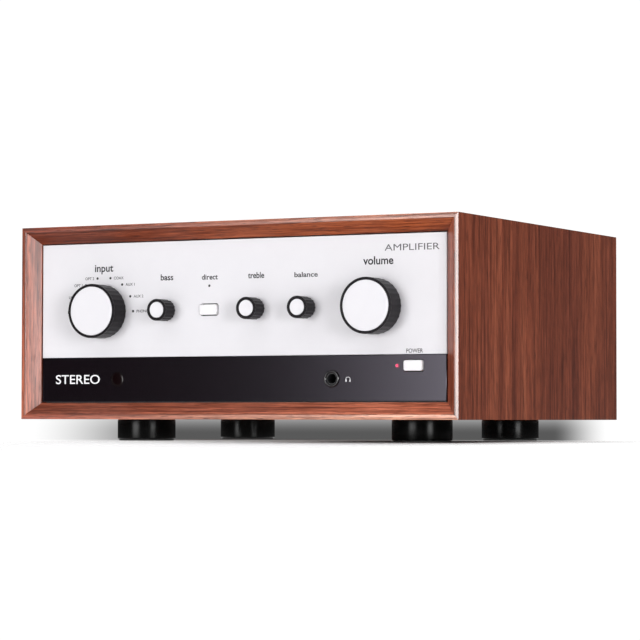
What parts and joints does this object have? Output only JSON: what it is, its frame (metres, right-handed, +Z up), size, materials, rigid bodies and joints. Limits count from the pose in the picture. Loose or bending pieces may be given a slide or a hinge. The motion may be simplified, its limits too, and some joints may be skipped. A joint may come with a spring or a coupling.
{
  "type": "integrated amplifier",
  "caption": "Low wide stereo amplifier in a mitred walnut sleeve on round feet, with a pale fascia, a dark lower band, fluted knobs and rear sockets.",
  "frame": {"origin": "on the surface that it stands on, below the middle of the overall box", "axes": "+X to the right as seen by someone facing the controls, +Y from the front to the rear, +Z up"},
  "size_m": [0.326, 0.276, 0.144],
  "materials": {
    "walnut": "satin veneer",
    "fascia_white": "fine satin",
    "band_black": "smooth gloss",
    "knob_black": "satin",
    "disc_silver": "fine spun",
    "foot_black": "moulded gloss",
    "pad_rubber": "matte",
    "bright_steel": "zinc plated",
    "panel_black": "fine powder coat",
    "button_white": "satin",
    "light_white": "diffuse lens",
    "light_red": "lit lens",
    "window_dark": "dark tinted",
    "ring_black": "turned",
    "socket_black": "moulded",
    "pot_grey": "moulded",
    "coil_copper": "taped winding",
    "pcb_green": "solder resist",
    "sink_alu": "anodised extrusion",
    "device_black": "moulded",
    "capacitor_sleeve": "shrink sleeve",
    "brass_plain": "turned",
    "wire_pvc": "pvc",
    "gold_plate": "gold plated",
    "cap_red": "moulded",
    "cap_black": "moulded"
  },
  "bodies": {
    "cabinet": {"top_board": "walnut", "bottom_board": "walnut", "left_board": "walnut", "right_board": "walnut", "feet": "foot_black", "foot_pads": "pad_rubber", "foot_screws": "bright_steel", "fascia_plate": "fascia_white", "lower_band": "band_black", "chassis_tray": "panel_black", "rear_panel": "panel_black", "panel_screws": "bright_steel", "input_encoder": "pot_grey", "tone_pots": "pot_grey", "volume_pot": "pot_grey", "pot_nuts": "bright_steel", "remote_window": "window_dark", "headphone_socket": "socket_black", "headphone_ring": "ring_black", "input_lights": "light_white", "power_light": "light_red", "transformer": "coil_copper", "transformer_clamp": "bright_steel", "transformer_bolt": "bright_steel", "main_board": "pcb_green", "front_board": "pcb_green", "input_board": "pcb_green", "heatsink": "sink_alu", "output_transistors": "device_black", "filter_capacitors": "capacitor_sleeve", "board_standoffs": "brass_plain", "wiring": "wire_pvc", "mains_inlet": "socket_black", "phono_sockets": "gold_plate", "digital_sockets": "socket_black", "speaker_posts": "gold_plate", "ground_post": "gold_plate"},
    "input_control": {"input_knob": "knob_black", "input_knob_disc": "disc_silver", "input_shaft": "bright_steel"},
    "bass_control": {"bass_knob": "knob_black", "bass_knob_disc": "disc_silver", "bass_shaft": "bright_steel"},
    "treble_control": {"treble_knob": "knob_black", "treble_knob_disc": "disc_silver", "treble_shaft": "bright_steel"},
    "balance_control": {"balance_knob": "knob_black", "balance_knob_disc": "disc_silver", "balance_shaft": "bright_steel"},
    "volume_control": {"volume_knob": "knob_black", "volume_knob_disc": "disc_silver", "volume_shaft": "bright_steel"},
    "direct_button_body": {"direct_button": "button_white"},
    "power_button_body": {"power_button": "button_white"},
    "mains_rocker_body": {"mains_rocker": "socket_black"},
    "speaker_cap_1_body": {"speaker_cap_1": "cap_red"},
    "speaker_cap_2_body": {"speaker_cap_2": "cap_black"},
    "speaker_cap_3_body": {"speaker_cap_3": "cap_red"},
    "speaker_cap_4_body": {"speaker_cap_4": "cap_black"},
    "ground_nut_body": {"ground_nut": "gold_plate"}
  },
  "joints": [
    {"name": "input_turn", "type": "hinge", "parent": "cabinet", "child": "input_control", "pos_m": [-0.1024, -0.122, 0.0865], "axis": [0, -1, 0], "continuous": true},
    {"name": "bass_turn", "type": "hinge", "parent": "cabinet", "child": "bass_control", "pos_m": [-0.0532, -0.122, 0.0865], "axis": [0, -1, 0], "range_deg": [-150, 150]},
    {"name": "treble_turn", "type": "hinge", "parent": "cabinet", "child": "treble_control", "pos_m": [0.0142, -0.122, 0.0865], "axis": [0, -1, 0], "range_deg": [-150, 150]},
    {"name": "balance_turn", "type": "hinge", "parent": "cabinet", "child": "balance_control", "pos_m": [0.0516, -0.122, 0.0865], "axis": [0, -1, 0], "range_deg": [-150, 150]},
    {"name": "volume_turn", "type": "hinge", "parent": "cabinet", "child": "volume_control", "pos_m": [0.102, -0.122, 0.0865], "axis": [0, -1, 0], "range_deg": [-150, 150]},
    {"name": "direct_press", "type": "slide", "parent": "cabinet", "child": "direct_button_body", "axis": [0, 1, 0], "range_m": [0, 0.0012], "stiffness_N_per_m": 400, "springref_m": -0.0008},
    {"name": "power_press", "type": "slide", "parent": "cabinet", "child": "power_button_body", "axis": [0, 1, 0], "range_m": [0, 0.0012], "stiffness_N_per_m": 400, "springref_m": -0.0008},
    {"name": "mains_rock", "type": "hinge", "parent": "cabinet", "child": "mains_rocker_body", "pos_m": [-0.126, 0.1175, 0.084], "axis": [-1, 0, 0], "range_deg": [0, 20]},
    {"name": "speaker_cap_1_turn", "type": "hinge", "parent": "cabinet", "child": "speaker_cap_1_body", "pos_m": [-0.022, 0.124, 0.066], "axis": [0, 1, 0], "range_deg": [0, 1440]},
    {"name": "speaker_cap_2_turn", "type": "hinge", "parent": "cabinet", "child": "speaker_cap_2_body", "pos_m": [-0.041, 0.124, 0.066], "axis": [0, 1, 0], "range_deg": [0, 1440]},
    {"name": "speaker_cap_3_turn", "type": "hinge", "parent": "cabinet", "child": "speaker_cap_3_body", "pos_m": [-0.066, 0.124, 0.066], "axis": [0, 1, 0], "range_deg": [0, 1440]},
    {"name": "speaker_cap_4_turn", "type": "hinge", "parent": "cabinet", "child": "speaker_cap_4_body", "pos_m": [-0.085, 0.124, 0.066], "axis": [0, 1, 0], "range_deg": [0, 1440]},
    {"name": "ground_nut_turn", "type": "hinge", "parent": "cabinet", "child": "ground_nut_body", "pos_m": [0.128, 0.122, 0.052], "axis": [0, 1, 0], "range_deg": [0, 1800]}
  ]
}
